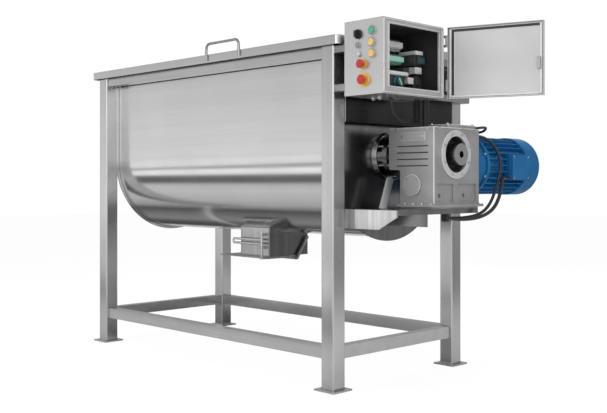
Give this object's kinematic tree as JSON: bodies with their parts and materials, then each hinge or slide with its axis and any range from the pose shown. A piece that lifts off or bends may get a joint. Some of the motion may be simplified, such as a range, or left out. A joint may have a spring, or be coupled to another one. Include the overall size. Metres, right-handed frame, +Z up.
{
  "type": "ribbon mixer",
  "caption": "Horizontal ribbon mixer for snack food: U trough on a leg frame, hinged lid, bottom outlet flap, bevel gear unit with motor, and a control cabinet with open door.",
  "frame": {"origin": "on the floor, midway between the four legs", "axes": "+X along the trough to the drive end, +Y to the rear where the lid is hinged, +Z up"},
  "size_m": [2.5671, 1.1455, 1.58],
  "materials": {
    "steel_brushed": "fine brushed stainless",
    "steel_trough": "brushed stainless sheet",
    "steel_polished": "polished stainless",
    "steel_rotor": "blasted stainless",
    "seal_rubber": "matte silicone",
    "grey_casting": "grey paint on a casting",
    "grey_covers": "satin grey paint",
    "zinc_steel": "zinc plated",
    "motor_blue": "satin blue paint",
    "motor_rotor": "machined",
    "cabinet_grey": "fine textured powder coat",
    "device_plastic": "matte",
    "signal_yellow": "gloss",
    "button_green": "gloss",
    "signal_red": "gloss",
    "control_black": "satin",
    "cable_black": "glossy sheath"
  },
  "bodies": {
    "frame": {"legs": "steel_brushed", "foot_plates": "steel_brushed", "stretchers": "steel_brushed", "top_rails": "steel_brushed", "trough_rim": "steel_brushed", "far_end_plate": "steel_brushed", "drive_end_plate": "steel_brushed", "drive_panel": "steel_brushed", "gear_platform": "steel_brushed", "torque_strut": "steel_brushed", "lid_hinge_brackets": "steel_brushed", "cabinet_brackets": "steel_brushed", "flap_hinge": "steel_brushed", "outlet_flange": "steel_brushed", "trough_shell": "steel_trough", "outlet_chute": "steel_polished", "platform_side_plate": "steel_polished", "seal_housing": "steel_polished", "seal_gland": "steel_polished", "button_bezels": "steel_polished", "rim_gasket": "seal_rubber", "gearbox_housing": "grey_casting", "far_bearing": "grey_casting", "gearbox_covers": "grey_covers", "gearbox_bolts": "zinc_steel", "mounting_plate": "zinc_steel", "cabinet_hinges": "zinc_steel", "motor_adapter": "motor_blue", "motor_housing": "motor_blue", "fan_cowl": "motor_blue", "terminal_box": "motor_blue", "terminal_lid": "motor_blue", "cabinet_box": "cabinet_grey", "switchgear": "device_plastic", "stop_rings": "signal_yellow", "cable_glands": "control_black", "panel_cable": "cable_black", "motor_cable": "cable_black", "sensor_cable": "cable_black", "fan_lead": "cable_black", "cable_conduit": "cable_black"},
    "mixer": {"mixer_shaft": "steel_rotor", "mixer_arms": "steel_rotor", "outer_ribbon": "steel_rotor", "inner_ribbon": "steel_rotor"},
    "motor_rotor": {"motor_rotor": "motor_rotor"},
    "lid": {"lid_panel": "steel_brushed", "lid_handle": "steel_polished", "lid_hinge_leaves": "steel_brushed"},
    "flap": {"outlet_flap": "steel_polished"},
    "latch": {"latch_handle": "steel_polished"},
    "door": {"cabinet_door": "cabinet_grey"},
    "door_cam": {"door_latch": "zinc_steel"},
    "green": {"green_button": "button_green"},
    "yellow_upper": {"yellow_button_upper": "signal_yellow"},
    "yellow_lower": {"yellow_button_lower": "signal_yellow"},
    "stop": {"stop_button": "signal_red"},
    "emergency": {"emergency_stop": "signal_red"},
    "selector": {"selector_knob": "control_black"},
    "key": {"key_switch": "control_black"}
  },
  "joints": [
    {"name": "mixer_spin", "type": "hinge", "parent": "frame", "child": "mixer", "pos_m": [0, 0, 1.02], "axis": [1, 0, 0], "continuous": true},
    {"name": "motor_spin", "type": "hinge", "parent": "frame", "child": "motor_rotor", "pos_m": [1.105, 0.4, 0.977], "axis": [0, 1, 0], "continuous": true},
    {"name": "lid_hinge", "type": "hinge", "parent": "frame", "child": "lid", "pos_m": [0, 0.4875, 1.49], "axis": [-1, 0, 0], "range_deg": [0, 95]},
    {"name": "flap_hinge", "type": "hinge", "parent": "frame", "child": "flap", "pos_m": [0.056, 0.048, 0.505], "axis": [1, 0, 0], "range_deg": [0, 75]},
    {"name": "latch_turn", "type": "hinge", "parent": "frame", "child": "latch", "pos_m": [0.138, -0.165, 0.58], "axis": [0, 0, 1], "range_deg": [0, 90]},
    {"name": "door_hinge", "type": "hinge", "parent": "frame", "child": "door", "pos_m": [1.1985, -0.031, 1.417], "axis": [0, 0, 1], "range_deg": [-108, 12]},
    {"name": "door_cam_turn", "type": "hinge", "parent": "door", "child": "door_cam", "pos_m": [1.57987, 0.09292, 1.416], "axis": [-0.309, 0.9511, 0], "range_deg": [0, 90]},
    {"name": "green_press", "type": "slide", "parent": "frame", "child": "green", "axis": [0, 1, 0], "range_m": [0, 0.004], "stiffness_N_per_m": 500},
    {"name": "yellow_upper_press", "type": "slide", "parent": "frame", "child": "yellow_upper", "axis": [0, 1, 0], "range_m": [0, 0.004], "stiffness_N_per_m": 500},
    {"name": "yellow_lower_press", "type": "slide", "parent": "frame", "child": "yellow_lower", "axis": [0, 1, 0], "range_m": [0, 0.004], "stiffness_N_per_m": 500},
    {"name": "stop_press", "type": "slide", "parent": "frame", "child": "stop", "axis": [0, 1, 0], "range_m": [0, 0.006], "stiffness_N_per_m": 500},
    {"name": "emergency_press", "type": "slide", "parent": "frame", "child": "emergency", "axis": [0, 1, 0], "range_m": [0, 0.006], "stiffness_N_per_m": 500},
    {"name": "selector_turn", "type": "hinge", "parent": "frame", "child": "selector", "pos_m": [1.057, -0.455, 1.514], "axis": [0, 1, 0], "range_deg": [-45, 45]},
    {"name": "key_turn", "type": "hinge", "parent": "frame", "child": "key", "pos_m": [1.058, -0.455, 1.468], "axis": [0, 1, 0], "range_deg": [0, 90]}
  ],
  "couplings": [
    {"joint": "motor_spin", "follows": "mixer_spin", "ratio": 40}
  ]
}
